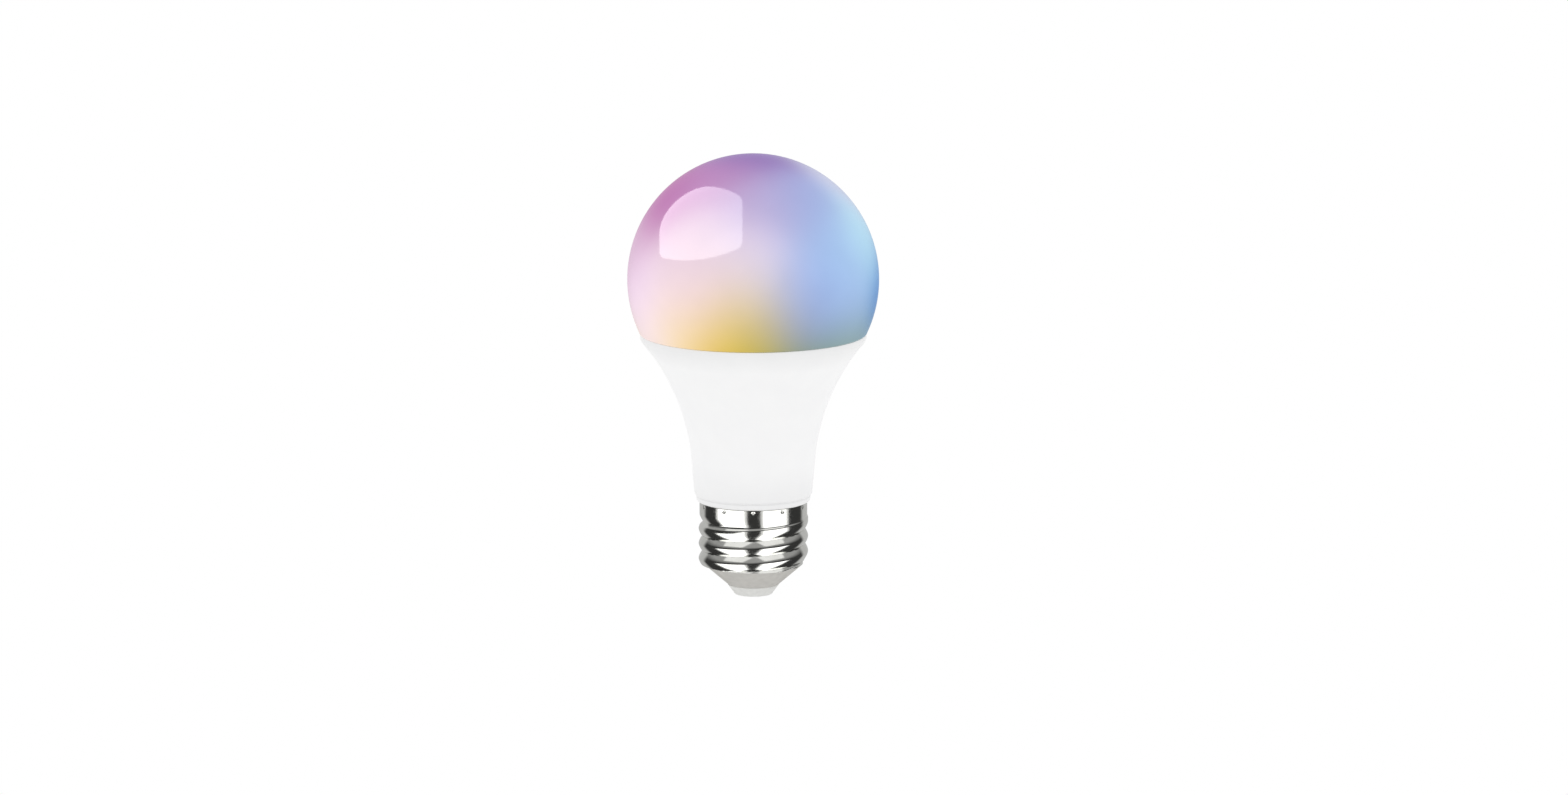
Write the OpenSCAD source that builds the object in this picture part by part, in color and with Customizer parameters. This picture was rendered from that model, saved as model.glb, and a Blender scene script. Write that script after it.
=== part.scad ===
// Smart light bulb: a milky dome on a flared plastic housing with an Edison screw base,
// and inside it a heat sink cup, an LED board, a driver board and a radio module.
// The origin is the middle of the centre contact's tip. +Z runs up the axis to the dome.

/* [Dome] */
// Outer radius of the diffuser dome
dome_r = 30; // [29:0.5:31]
// Wall of the diffuser dome
dome_wall = 1.4; // [1:0.1:1.8]
// Height of the parting plane between the dome and the housing
rim_z = 63.5; // [62.5:0.5:65]
// Radius of the dome at the parting plane
rim_r = 27.1; // [26.9:0.1:27.6]

/* [Housing] */
// Radius of the neck just above the collar
neck_r = 14.1; // [13.9:0.1:14.3]
// Lean of the neck's straight wall, in degrees
neck_lean = 5; // [4:0.5:6]
// Height where the straight neck turns into the flare
flare_z = 33; // [31:0.5:35]
// Wall of the housing
housing_wall = 1.5; // [1.3:0.1:1.6]

/* [Screw base] */
// Crest radius of the Edison thread
crest_r = 13.1; // [13.03:0.01:13.15]
// Radial depth of the thread
thread_depth = 0.85; // [0.6:0.05:0.9]
// Pitch of the thread
thread_pitch = 3.629; // [3.5:0.001:3.7]
// Radius of the plain skirt above the thread
skirt_r = 12.88; // [12.85:0.01:12.95]
// Height of the screw shell's top edge
shell_top_z = 22.75; // [22.5:0.05:23]
// Height of the screw shell's lower edge
shell_low_z = 7.4; // [7.3:0.1:7.6]
// Number of staking marks round the skirt
stake_count = 11; // [8:1:14]

/* [LED board] */
// Radius of the LED board
led_board_r = 21.7; // [21.2:0.1:21.7]
// Thickness of the LED board
led_board_t = 1.2; // [1:0.1:1.2]
// White LED packages of each tone
white_count = 9; // [6:3:9]
// Colour LED packages of each colour
colour_count = 3; // [2:1:3]

/* [Driver] */
// Thickness of the driver board
driver_t = 1.2; // [1:0.1:1.2]
// Half width of the driver board in the neck
driver_neck_w = 9; // [8.5:0.1:9]
// Half width of the driver board in the cup
driver_wide_w = 11.2; // [10.5:0.1:11.2]

/* [Hidden] */
$fn = 96;
cut = 1; // how far a cutting solid runs past the face it cuts

// Dome and its joint at the rim
dome_z = rim_z + sqrt(dome_r * dome_r - rim_r * rim_r);
rim_chamfer = 0.35;
rim_t = 1;
skirt_in_r = 24.6;
skirt_out_r = 25.8;
skirt_low_z = rim_z - 2.4;
rim_seat_r = 26.1;
rim_seat_z = rim_z - 2.5;
parting_gap = 0.1;

// Housing: a straight neck, then one arc that flares out to the shoulder under the rim
collar_r = 13.65;
collar_top_z = 24.1;
collar_round = 0.7;
groove_r = 13.58;
groove_top_z = 24.35;
corner_r = 0.6;
neck_z = groove_top_z + corner_r;
shoulder_r = rim_r - 0.55;
shoulder_z = rim_z - 2.1;
housing_rim_r = rim_r - 0.1;
spigot_r = 11.55;
spigot_in_r = 10.1;
spigot_low_z = 9.8;
flare_r = neck_r + (flare_z - neck_z) * tan(neck_lean);
flare_end_lean = 2 * atan((shoulder_r - flare_r) / (shoulder_z - flare_z)) - neck_lean;
arc_r = (shoulder_z - flare_z) / (sin(flare_end_lean) - sin(neck_lean));
arc_cx = flare_r + arc_r * cos(neck_lean);
arc_cz = flare_z - arc_r * sin(neck_lean);
arc_steps = 20;

// Screw shell
shell_bore_r = 12;
thread_bore_r = 11.85;
thread_top_z = 20.3;
lap_h = 0.3;
lap_r = 12.5;
lap_step = 0.05;
runout_z = 18.85;
runout_angle = -75;
runout_turn = 110;
crest_width = 1.6;
step_low = 0.85;
step_high = 1.45;
crest_grows = 150;
crest_grown = 210;
rolled_r = 11.85;
rolled_bore_r = 11.4;
rolled_bore_h = 0.9;
roll_h = 2.2;
roll_half_turn = 95;
roll_slope = 1.15;
roll_ease = 0.4;
thread_cols = 60;
thread_rows = 40;
stake_z = shell_top_z - 0.72;
stake_r = 0.5;
stake_depth = 0.3;
notch_w = 1.3;
notch_top_z = 15;
neutral_angle = 215.5;

// Insulator and centre contact
contact_tip_r = 4.75;
contact_round = 0.6;
contact_top_r = 6.1;
contact_top_z = 2.5;
stem_r = 2;
stem_top_z = 7.2;
insulator_top_z = 8.1;
insulator_low_r = 6.3;
insulator_high_r = 11.3;
insulator_edge_r = 11.8;
insulator_wall = 1.7;
wire_r = 0.7;
bare_wire_r = 0.4;

// Cup inside the housing
cup_gap = 0.1;
cup_wall = 0.9;
cup_low_z = 34;
ledge_z = rim_z - 4.3;
ledge_t = 1.2;
ledge_in_r = 16.6;
cup_top_z = ledge_z + 1.3;
cup_seat_r = led_board_r + 0.1;

// LED board and what is on it
paste_t = 0.2;
board_low_z = ledge_z + paste_t;
board_top_z = board_low_z + led_board_t;
white_ring_r = 15.6;
colour_ring_r = 11.7;
led_long = 3.5;
led_wide = 2.8;
led_tall = 0.7;
screw_ring_r = 18.8;
screw_count = 3;
screw_turn = 90 / white_count;
screw_shank_r = 1.15;
screw_hole_r = 1.25;
screw_length = 3.6;
screw_head_r = 1.75;
screw_head_t = 1.1;

// Driver board, which stands in the XZ plane just in front of the axis
driver_back_y = -2;
driver_front_y = driver_back_y - driver_t;
driver_low_z = 21.5;
driver_step_z = 35;
driver_top_z = 56;
lead_r = 0.35;

// Radio module, which stands up through a slot in the LED board
module_front_y = -7.4;
module_t = 0.8;
module_half_w = 7;
module_low_z = 46;
module_top_z = 67;
slot_gap = 0.15;

// Pin header between the two boards
pin_count = 6;
pin_step = 2.54;
pin_w = 0.6;
pin_hole_r = 0.55;
header_w = 2.5;
header_low_z = 53;
header_top_z = 55.5;
pin_top_z = board_top_z + 1.2;

// Colours
milky = "AliceBlue";
white_plastic = "WhiteSmoke";
nickel = "Silver";
grey_plastic = "LightGray";
aluminium = "Gainsboro";
board_green = "DarkGreen";
board_white = "Ivory";
copper = "Peru";
black_resin = "DimGray";

// ---- Shared shapes ----

// Lean of the flare's arc at height z, for an outline moved in by w along its normal
function arc_lean(z, w) = asin((z - arc_cz) / (arc_r + w));
function arc_point(a, w) = [arc_cx - (arc_r + w) * cos(a), arc_cz + (arc_r + w) * sin(a)];
function arc_points(z0, z1, w) =
    let (a0 = arc_lean(z0, w), a1 = arc_lean(z1, w))
    [for (i = [0 : arc_steps]) arc_point(a0 + (a1 - a0) * i / arc_steps, w)];
function arc_radius(z, w) = arc_point(arc_lean(z, w), w)[0];
// Points round part of a circle about (x, z)
function round_points(x, z, r, a0, a1, steps) =
    [for (i = [0 : steps]) let (a = a0 + (a1 - a0) * i / steps) [x + r * cos(a), z + r * sin(a)]];

module ring(outer, inner, z0, z1) {
    translate([0, 0, z0])
        difference() {
            cylinder(r = outer, h = z1 - z0);
            translate([0, 0, -cut]) cylinder(r = inner, h = z1 - z0 + 2 * cut);
        }
}

// Box from its lowest to its highest corner
module box(low, high) {
    translate(low) cube(high - low);
}

// Upright round bar
module post(x, y, z0, z1, r) {
    translate([x, y, z0]) cylinder(r = r, h = z1 - z0, $fn = 32);
}

// ---- Visible shells ----

module diffuser_dome() {
    color(milky) difference() {
        union() {
            intersection() {
                translate([0, 0, dome_z]) sphere(r = dome_r);
                rotate_extrude() polygon([
                    [0, rim_z], [rim_r - rim_chamfer, rim_z], [rim_r + 0.15, rim_z + rim_chamfer],
                    [dome_r + cut, rim_z + rim_chamfer], [dome_r + cut, dome_z + dome_r + cut],
                    [0, dome_z + dome_r + cut]
                ]);
            }
            translate([0, 0, skirt_low_z]) cylinder(r = skirt_out_r, h = rim_z + rim_t / 2 - skirt_low_z);
        }
        intersection() {
            translate([0, 0, dome_z]) sphere(r = dome_r - dome_wall);
            box([-dome_r, -dome_r, rim_z + rim_t], [dome_r, dome_r, dome_z + dome_r]);
        }
        translate([0, 0, skirt_low_z - cut]) cylinder(r = skirt_in_r, h = rim_z + rim_t - skirt_low_z + 2 * cut);
    }
}

// Silicone bead between the dome's skirt and the housing's rim
module dome_adhesive() {
    color(white_plastic) ring(rim_seat_r, skirt_out_r, rim_seat_z, rim_z - parting_gap);
}

module housing_shell() {
    outer = concat(
        [[spigot_r, spigot_low_z], [spigot_r, shell_top_z]],
        round_points(collar_r - collar_round, shell_top_z + collar_round, collar_round, -90, 0, 6),
        [[collar_r, collar_top_z], [groove_r, collar_top_z], [groove_r, groove_top_z]],
        round_points(neck_r - corner_r, neck_z, corner_r, -90, 0, 5),
        arc_points(flare_z, shoulder_z, 0),
        [[housing_rim_r, shoulder_z + 0.9], [housing_rim_r, rim_z - parting_gap - 0.2],
         [housing_rim_r - 0.2, rim_z - parting_gap]]
    );
    inner = concat(
        [[rim_seat_r, rim_z - parting_gap], [rim_seat_r, rim_seat_z]],
        [for (i = [arc_steps : -1 : 0]) arc_points(flare_z, rim_seat_z, housing_wall)[i]],
        [[neck_r - housing_wall, neck_z + 1], [spigot_in_r, neck_z - 1.5], [spigot_in_r, spigot_low_z]]
    );
    color(white_plastic) difference() {
        union() {
            rotate_extrude() polygon(concat(outer, inner));
            for (side = [-1, 1]) board_rails(side);
        }
        // Way for the neutral wire, out of the neck and up the side of the spigot
        rotate([0, 0, neutral_angle])
            box([spigot_r - 1, -notch_w / 2, spigot_low_z - cut], [spigot_r + cut, notch_w / 2, notch_top_z]);
    }
}

// Two ribs in the neck that hold one edge of the driver board
module board_rails(side) {
    rail_t = 0.8;
    rail_gap = 0.1;
    rail_in = driver_neck_w - 1;
    wall_in = neck_r - housing_wall + 0.3;
    for (y0 = [driver_front_y - rail_gap - rail_t, driver_back_y + rail_gap])
        translate([side * (rail_in + wall_in) / 2, y0 + rail_t / 2, (neck_z + flare_z) / 2])
            cube([wall_in - rail_in, rail_t, flare_z - neck_z - 3], center = true);
}

// Thread surface: one groove runs down from the skirt, and the crests stand a little proud of it
function smooth(t) = let (s = min(1, max(0, t))) s * s * (3 - 2 * s);
// Degrees that the groove has turned on its way down when it passes nearest to angle a, height z
function groove_turn(a, z) =
    let (first = (runout_angle - a + 720) % 360, drop = runout_z - first * thread_pitch / 360 - z)
    first + 360 * round(drop / thread_pitch);
// 0 on the skirt, 1 on the crest that starts half a pitch under the groove, this many degrees round
function crest_step(turned, z) =
    smooth((runout_z - (turned / 360 + 0.5) * thread_pitch + step_high - z) / (step_high - step_low));
function crest_radius(a, z) =
    let (
        first = (runout_angle - a + 720) % 360,
        grown = smooth((first - crest_grows) / (crest_grown - crest_grows)) * smooth(thread_top_z - z)
    )
    skirt_r + (crest_r - skirt_r) * max(crest_step(first, z), grown * crest_step(first - 360, z));
// The shell's lower end is pressed in on the side where the last turn of thread runs out
function rolled_edge(a, z) =
    let (
        off = abs((a + 540) % 360 - 180),
        deep = max(0, shell_low_z + roll_h * smooth(1 - off / roll_half_turn) - z)
    )
    max(rolled_r, crest_r - roll_slope * deep * deep / (deep + roll_ease));
function thread_radius(a, z) =
    let (
        turned = groove_turn(a, z),
        off = (z - runout_z) / thread_pitch * 360 + turned,
        depth = thread_depth * smooth(turned / runout_turn) * pow(max(0, 1 - abs(off) / 180), crest_width)
    )
    min(rolled_edge(a, z), crest_radius(a, z) - depth);

// One loop of points round the axis for each [z, r]; r = 0 takes the thread's own radius
function loop_points(z, r) = [
    for (j = [0 : thread_cols - 1])
        let (a = 360 * j / thread_cols, q = r == 0 ? thread_radius(a, z) : r)
        [q * cos(a), q * sin(a), z]
];

module thread_sleeve() {
    thread_h = thread_top_z - shell_low_z;
    loops = concat(
        [for (i = [0 : thread_rows - 1]) [shell_low_z + thread_h * i / thread_rows, 0]],
        [[thread_top_z, skirt_r - lap_step], [thread_top_z + lap_h, lap_r], [thread_top_z + lap_h, thread_bore_r],
         [shell_low_z + roll_h, thread_bore_r], [shell_low_z + rolled_bore_h, rolled_bore_r],
         [shell_low_z, rolled_bore_r]]
    );
    points = [for (l = loops) each loop_points(l[0], l[1])];
    faces = [
        for (i = [0 : len(loops) - 1], j = [0 : thread_cols - 1])
            let (
                k = (j + 1) % thread_cols,
                low = i * thread_cols,
                high = ((i + 1) % len(loops)) * thread_cols
            )
            each [[low + j, high + j, low + k], [low + k, high + j, high + k]]
    ];
    polyhedron(points, faces);
}

// Pressed-metal Edison shell: plain skirt on top, rolled thread below, staked to the spigot
module screw_shell() {
    color(nickel) difference() {
        union() {
            ring(skirt_r, shell_bore_r, thread_top_z, shell_top_z);
            thread_sleeve();
        }
        for (i = [0 : stake_count - 1])
            rotate([0, 0, -90 + 360 * i / stake_count])
                translate([skirt_r + stake_r - stake_depth, 0, stake_z])
                    sphere(r = stake_r, $fn = 24);
    }
}

module base_insulator() {
    lean = (insulator_edge_r - insulator_low_r) / (shell_low_z - contact_top_z);
    floor_z = contact_top_z + 1.2;
    color(grey_plastic) rotate_extrude() polygon([
        [stem_r + 0.05, contact_top_z], [insulator_low_r, contact_top_z], [insulator_edge_r, shell_low_z],
        [insulator_high_r, shell_low_z], [insulator_high_r, insulator_top_z],
        [insulator_high_r - insulator_wall, insulator_top_z], [insulator_high_r - insulator_wall, shell_low_z],
        [insulator_low_r - insulator_wall + lean * 1.2, floor_z],
        [stem_r + 0.05, floor_z]
    ]);
}

// Tip with its hollow stem, which passes up through the insulator and grips the resistor's lead
module centre_contact() {
    color("Gainsboro") rotate_extrude() polygon(concat(
        [[0, 0]],
        round_points(contact_tip_r - contact_round, contact_round, contact_round, -90, -20, 4),
        [[contact_top_r, contact_top_z - 0.2], [contact_top_r - 0.15, contact_top_z], [stem_r, contact_top_z],
         [stem_r, stem_top_z], [lead_r + 0.1, stem_top_z], [lead_r + 0.1, contact_top_z], [0, contact_top_z]]
    ));
}

// ---- Heat sink and LED board ----

module heat_sink_cup() {
    outer_w = housing_wall + cup_gap;
    inner_w = outer_w + cup_wall;
    down = arc_points(cup_low_z, ledge_z - ledge_t, inner_w);
    profile = concat(
        arc_points(cup_low_z, cup_top_z, outer_w),
        [[cup_seat_r, cup_top_z], [cup_seat_r, ledge_z], [ledge_in_r, ledge_z], [ledge_in_r, ledge_z - ledge_t]],
        [for (i = [arc_steps : -1 : 0]) down[i]]
    );
    color(aluminium) difference() {
        rotate_extrude() polygon(profile);
        screw_places() post(0, 0, ledge_z - ledge_t - cut, ledge_z + cut, screw_hole_r);
    }
}

module screw_places() {
    for (i = [0 : screw_count - 1])
        rotate([0, 0, screw_turn + 360 * i / screw_count]) translate([screw_ring_r, 0, 0]) children();
}

module thermal_paste() {
    color("White") difference() {
        ring(led_board_r - 0.2, ledge_in_r + 0.2, ledge_z, ledge_z + paste_t);
        screw_places() post(0, 0, ledge_z - cut, board_low_z + cut, screw_head_r);
    }
}

module led_board() {
    color(board_white) difference() {
        translate([0, 0, board_low_z]) cylinder(r = led_board_r, h = led_board_t);
        screw_places() post(0, 0, board_low_z - cut, board_top_z + cut, screw_hole_r + 0.1);
        box([-module_half_w - slot_gap, module_front_y - slot_gap, board_low_z - cut],
            [module_half_w + slot_gap, module_front_y + module_t + slot_gap, board_top_z + cut]);
        for (i = [0 : pin_count - 1])
            post(pin_x(i), pin_y(), board_low_z - cut, board_top_z + cut, pin_hole_r);
    }
}

// LED packages on a ring: count of them, every step-th place of the ring, starting at place first
module led_ring(ring_r, places, first, step, turn) {
    for (i = [first : step : places - 1])
        rotate([0, 0, turn + 360 * i / places]) translate([ring_r, 0, board_top_z]) led_package();
}

// White cup with a sunk window over the chip
module led_package() {
    window = 0.45;
    difference() {
        translate([-led_wide / 2, -led_long / 2, 0]) cube([led_wide, led_long, led_tall]);
        translate([-led_wide / 2 + window, -led_long / 2 + window, led_tall - 0.12])
            cube([led_wide - 2 * window, led_long - 2 * window, 1]);
    }
}

module warm_white_leds() { color("Khaki") led_ring(white_ring_r, 2 * white_count, 0, 2, 0); }
module cool_white_leds() { color("LightYellow") led_ring(white_ring_r, 2 * white_count, 1, 2, 0); }
module red_leds() { color("Red") led_ring(colour_ring_r, 3 * colour_count, 0, 3, colour_turn()); }
module green_leds() { color("Lime") led_ring(colour_ring_r, 3 * colour_count, 1, 3, colour_turn()); }
module blue_leds() { color("Blue") led_ring(colour_ring_r, 3 * colour_count, 2, 3, colour_turn()); }
// The colour ring has a gap between packages at the front, where the radio module stands
function colour_turn() = -90 + 180 / (3 * colour_count);

module board_screws() {
    color(nickel) screw_places() difference() {
        union() {
            post(0, 0, board_top_z - screw_length, board_top_z + 0.1, screw_shank_r);
            translate([0, 0, board_top_z]) cylinder(r1 = screw_head_r, r2 = 1.3, h = screw_head_t, $fn = 32);
        }
        for (a = [0, 90]) rotate([0, 0, a])
            translate([0, 0, board_top_z + screw_head_t]) cube([2, 0.4, 1], center = true);
    }
}

// ---- Driver board and its parts ----

module driver_board() {
    slope = driver_wide_w - driver_neck_w;
    color(board_green) translate([0, driver_back_y, 0]) rotate([90, 0, 0]) linear_extrude(driver_t) polygon([
        [-driver_neck_w, driver_low_z], [driver_neck_w, driver_low_z], [driver_neck_w, driver_step_z - slope],
        [driver_wide_w, driver_step_z], [driver_wide_w, driver_top_z], [-driver_wide_w, driver_top_z],
        [-driver_wide_w, driver_step_z], [-driver_neck_w, driver_step_z - slope]
    ]);
}

// Upright electrolytic can with a crimp groove and two leads bent back to the board
module can_capacitor(x, y, z, r, h, lead_gap) {
    groove_z = 1.6;
    bend = 0.8;
    translate([x, y, z]) {
        rotate_extrude($fn = 64) polygon([
            [0, 0], [r - 0.3, 0], [r, 0.3], [r, groove_z - 0.5], [r - 0.4, groove_z], [r, groove_z + 0.5],
            [r, h - 0.4], [r - 0.4, h], [0, h]
        ]);
        for (side = [-1, 1]) translate([side * lead_gap / 2, 0, 0]) bent_lead(y - driver_back_y, bend);
    }
}

// Lead that leaves a part's underside, bends to -Y and runs on to the board's face
module bent_lead(reach, bend) {
    translate([0, -bend, 0]) rotate([0, 90, 0]) rotate_extrude(angle = 90, $fn = 48)
        translate([bend, 0]) circle(r = lead_r, $fn = 24);
    translate([0, -bend, -bend]) rotate([90, 0, 0]) cylinder(r = lead_r, h = reach - bend, $fn = 24);
}

module bulk_capacitor() { color(black_resin) can_capacitor(-3.7, 2.6, 26.8, 4, 12.4, 3.5); }
module output_capacitor() { color(black_resin) can_capacitor(-6.6, 4.2, 52.6, 3.1, 5.6, 2.5); }

module film_capacitor() {
    color("Goldenrod") translate([-9.7, driver_back_y, 41.5]) difference() {
        cube([5, 6, 9.6]);
        for (x = [0, 5], z = [0, 9.6]) translate([x, 3, z]) rotate([0, 45, 0]) cube([0.7, 8, 0.7], center = true);
    }
}

// Transformer: two-window core on an upright middle leg, with a bobbin and a taped winding round it
core_x = 3.5;
core_y = 2.9;
core_low_z = 40.6;
core_size = [12, 5, 11];
core_leg = 3;
core_rail = 1.8;
bobbin_wall = 0.7;
fit_gap = 0.05;

module transformer_core() {
    window = (core_size.x - core_leg) / 2 - core_rail;
    color("#3a3a3e") translate([core_x, core_y, core_low_z]) difference() {
        translate([-core_size.x / 2, -core_size.y / 2, 0]) cube(core_size);
        for (side = [-1, 1])
            translate([side * (core_leg + window) / 2, 0, core_size.z / 2])
                cube([window, core_size.y + 2 * cut, core_size.z - 2 * core_rail], center = true);
    }
}

// Upright rectangular tube outline with rounded corners
module rounded(w, d, r) {
    square([w - 2 * r, d], center = true);
    square([w, d - 2 * r], center = true);
    for (x = [-1, 1], y = [-1, 1]) translate([x * (w / 2 - r), y * (d / 2 - r)]) circle(r = r, $fn = 32);
}

bobbin_in = [core_leg + 2 * fit_gap, core_size.y + 2 * fit_gap];
bobbin_out = [bobbin_in.x + 2 * bobbin_wall, bobbin_in.y + 2 * bobbin_wall];
bobbin_low_z = core_low_z + core_rail + fit_gap;
bobbin_h = core_size.z - 2 * core_rail - 2 * fit_gap;
flange = [core_size.x - 2 * core_rail - 2 * fit_gap, 2 * (core_y - driver_back_y)];

module transformer_bobbin() {
    color("Black") translate([core_x, core_y, bobbin_low_z]) difference() {
        union() {
            linear_extrude(bobbin_h) rounded(bobbin_out.x, bobbin_out.y, 0.6);
            for (z = [0, bobbin_h - bobbin_wall])
                translate([0, 0, z]) linear_extrude(bobbin_wall) rounded(flange.x, flange.y, 1);
        }
        translate([0, 0, bobbin_h / 2]) cube([bobbin_in.x, bobbin_in.y, bobbin_h + 2 * cut], center = true);
    }
}

module transformer_winding() {
    color("Gold") translate([core_x, core_y, bobbin_low_z + bobbin_wall]) difference() {
        linear_extrude(bobbin_h - 2 * bobbin_wall) rounded(flange.x - 0.4, flange.y - 1, 2.4);
        translate([0, 0, -cut]) linear_extrude(bobbin_h + 2 * cut) rounded(bobbin_out.x, bobbin_out.y, 0.6);
    }
}

// Filter choke: ferrite drum with copper wound between its flanges
choke_place = [5.2, 1.6, 26.6];
choke_r = 3.2;
choke_h = 8;
choke_hub_r = 1.5;
choke_flange_t = 1.1;

module choke_core() {
    color("#3a3a3e") translate(choke_place) rotate_extrude($fn = 64) polygon([
        [0, 0], [choke_r, 0], [choke_r, choke_flange_t], [choke_hub_r, choke_flange_t],
        [choke_hub_r, choke_h - choke_flange_t], [choke_r, choke_h - choke_flange_t], [choke_r, choke_h], [0, choke_h]
    ]);
}

module choke_winding() {
    color(copper) translate(choke_place)
        ring(choke_r - 0.3, choke_hub_r, choke_flange_t, choke_h - choke_flange_t);
}

// Moulded chip on the board's front face, with gull-wing legs on its left and right sides
module chip(x, z, w, h, t, legs) {
    leg_w = 0.45;
    leg_out = 0.9;
    translate([x, driver_front_y, z]) {
        box([-w / 2, -t, -h / 2], [w / 2, -0.1, h / 2]);
        for (side = [-1, 1], i = [0 : legs - 1])
            translate([side * (w / 2 + leg_out / 2 - 0.1), -0.15, (i - (legs - 1) / 2) * h / legs])
                cube([leg_out + 0.2, 0.3, leg_w], center = true);
    }
}

module bridge_rectifier() { color("#2b2b2f") chip(-3.2, 29, 4, 4.8, 1.6, 2); }
module driver_chips() { color("#2b2b2f") for (z = [39, 48.5]) chip(3.6, z, 3.9, 4.9, 1.5, 4); }

module chip_resistors() {
    color("#2b2b2f") for (x = [-8.2, -5], z = [38, 41, 44, 47])
        box([x - 1, driver_front_y - 0.5, z - 0.6], [x + 1, driver_front_y, z + 0.6]);
}

// Surge protector: a lacquered disc on edge, with two leads
module surge_varistor() {
    disc_r = 3.2;
    disc_t = 2.4;
    disc_z = 29;
    stand_off = 0.5;
    color("RoyalBlue") translate([4, driver_front_y - stand_off, disc_z]) {
        rotate([90, 0, 0]) rotate_extrude($fn = 64) polygon([
            [0, 0], [disc_r - 0.6, 0], [disc_r, 0.6], [disc_r, disc_t - 0.6], [disc_r - 0.6, disc_t], [0, disc_t]
        ]);
        for (side = [-1, 1]) translate([side * 1.8, 0.5, -1]) rotate([90, 0, 0]) cylinder(r = lead_r, h = 1, $fn = 24);
    }
}

// Flameproof resistor in line between the centre contact and the live wire
resistor_low_z = 10.6;
resistor_top_z = 17.6;
lead_top_z = 19.4;

module fuse_resistor() {
    body_r = 1.2;
    cap_r = 1.4;
    cap_h = 1.3;
    mid_z = (resistor_low_z + resistor_top_z) / 2;
    half = (resistor_top_z - resistor_low_z) / 2;
    color("SteelBlue") rotate_extrude($fn = 48) polygon([
        [0, contact_top_z + 0.5], [lead_r, contact_top_z + 0.5], [lead_r, resistor_low_z],
        [cap_r - 0.3, resistor_low_z], [cap_r, resistor_low_z + 0.3], [cap_r, resistor_low_z + cap_h],
        [body_r, mid_z - half + cap_h + 0.3], [body_r, mid_z + half - cap_h - 0.3],
        [cap_r, resistor_top_z - cap_h], [cap_r, resistor_top_z - 0.3], [cap_r - 0.3, resistor_top_z],
        [lead_r, resistor_top_z], [lead_r, lead_top_z], [0, lead_top_z]
    ]);
}

// ---- Pin header and radio module ----

function pin_x(i) = (i - (pin_count - 1) / 2) * pin_step;
function pin_y() = driver_back_y + header_w / 2;

module pin_bars() {
    for (i = [0 : pin_count - 1])
        box([pin_x(i) - pin_w / 2, pin_y() - pin_w / 2, header_low_z - 1],
            [pin_x(i) + pin_w / 2, pin_y() + pin_w / 2, pin_top_z]);
}

module header_strip() {
    half = pin_count * pin_step / 2;
    color("Black") difference() {
        box([-half, driver_back_y, header_low_z], [half, driver_back_y + header_w, header_top_z]);
        pin_bars();
        for (i = [0 : pin_count]) translate([pin_x(i) - pin_step / 2, driver_back_y + header_w, header_low_z - cut])
            rotate([0, 0, 45]) cube([0.6, 0.6, 2 * header_w + 2], center = true);
    }
}

module header_pins() { color("Gold") pin_bars(); }

module wireless_board() {
    color("DarkBlue") box([-module_half_w, module_front_y, module_low_z],
                          [module_half_w, module_front_y + module_t, module_top_z]);
}

// Pressed can over the radio chip, open towards its board
module wireless_shield() {
    half = 5.6;
    low_z = module_low_z + 1.6;
    top_z = board_low_z - 1.4;
    depth = 1.9;
    wall = 0.25;
    color(nickel) difference() {
        box([-half, module_front_y - depth, low_z], [half, module_front_y, top_z]);
        box([-half + wall, module_front_y - depth + wall, low_z + wall],
            [half - wall, module_front_y + cut, top_z - wall]);
    }
}

// Folded copper track on the module's upper end
module antenna_trace() {
    track = 0.6;
    track_t = 0.1;
    runs = 5;
    run_w = 2.3;
    low_z = board_top_z + 1.2;
    top_z = module_top_z - 0.6;
    left = -run_w * runs / 2;
    color(copper) translate([0, module_front_y, 0]) {
        for (i = [0 : runs])
            box([left + i * run_w - track / 2, -track_t, low_z], [left + i * run_w + track / 2, 0, top_z]);
        for (i = [0 : runs - 1]) {
            z = i % 2 == 0 ? top_z - track : low_z;
            box([left + i * run_w - track / 2, -track_t, z], [left + (i + 1) * run_w + track / 2, 0, z + track]);
        }
    }
}

// ---- Wires ----

// Insulated wire from the resistor's upper lead into the back of the driver board
module live_wire() {
    bend = -driver_back_y;
    bend_z = 22.6;
    color("Black") union() {
        post(0, 0, lead_top_z, bend_z, wire_r);
        translate([0, -bend, bend_z]) rotate([90, 0, 90]) rotate_extrude(angle = 90, $fn = 48)
            translate([bend, 0]) circle(r = wire_r, $fn = 32);
    }
}

// Wire from the shell's inside, round the spigot's lower edge and up to the driver board's front
module neutral_wire() {
    outer_leg_r = spigot_r - 0.45;
    inner_leg_r = 9.3;
    turn_r = (outer_leg_r - inner_leg_r) / 2;
    turn_z = spigot_low_z - 0.1;
    sleeve_z = 11.5;
    bend_z = 22.6;
    leg_x = inner_leg_r * cos(neutral_angle);
    leg_y = inner_leg_r * sin(neutral_angle);
    bend = driver_front_y - leg_y;
    color("White") union() {
        rotate([0, 0, neutral_angle]) {
            post(outer_leg_r, 0, turn_z, notch_top_z - 0.4, bare_wire_r);
            translate([(outer_leg_r + inner_leg_r) / 2, 0, turn_z]) rotate([90, 180, 0])
                rotate_extrude(angle = 180, $fn = 48) translate([turn_r, 0]) circle(r = bare_wire_r, $fn = 24);
            post(inner_leg_r, 0, turn_z, sleeve_z + 0.5, bare_wire_r);
        }
        post(leg_x, leg_y, sleeve_z, bend_z, wire_r);
        translate([leg_x, driver_front_y, bend_z]) rotate([90, 0, -90]) rotate_extrude(angle = 90, $fn = 48)
            translate([bend, 0]) circle(r = wire_r, $fn = 32);
    }
}

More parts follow.
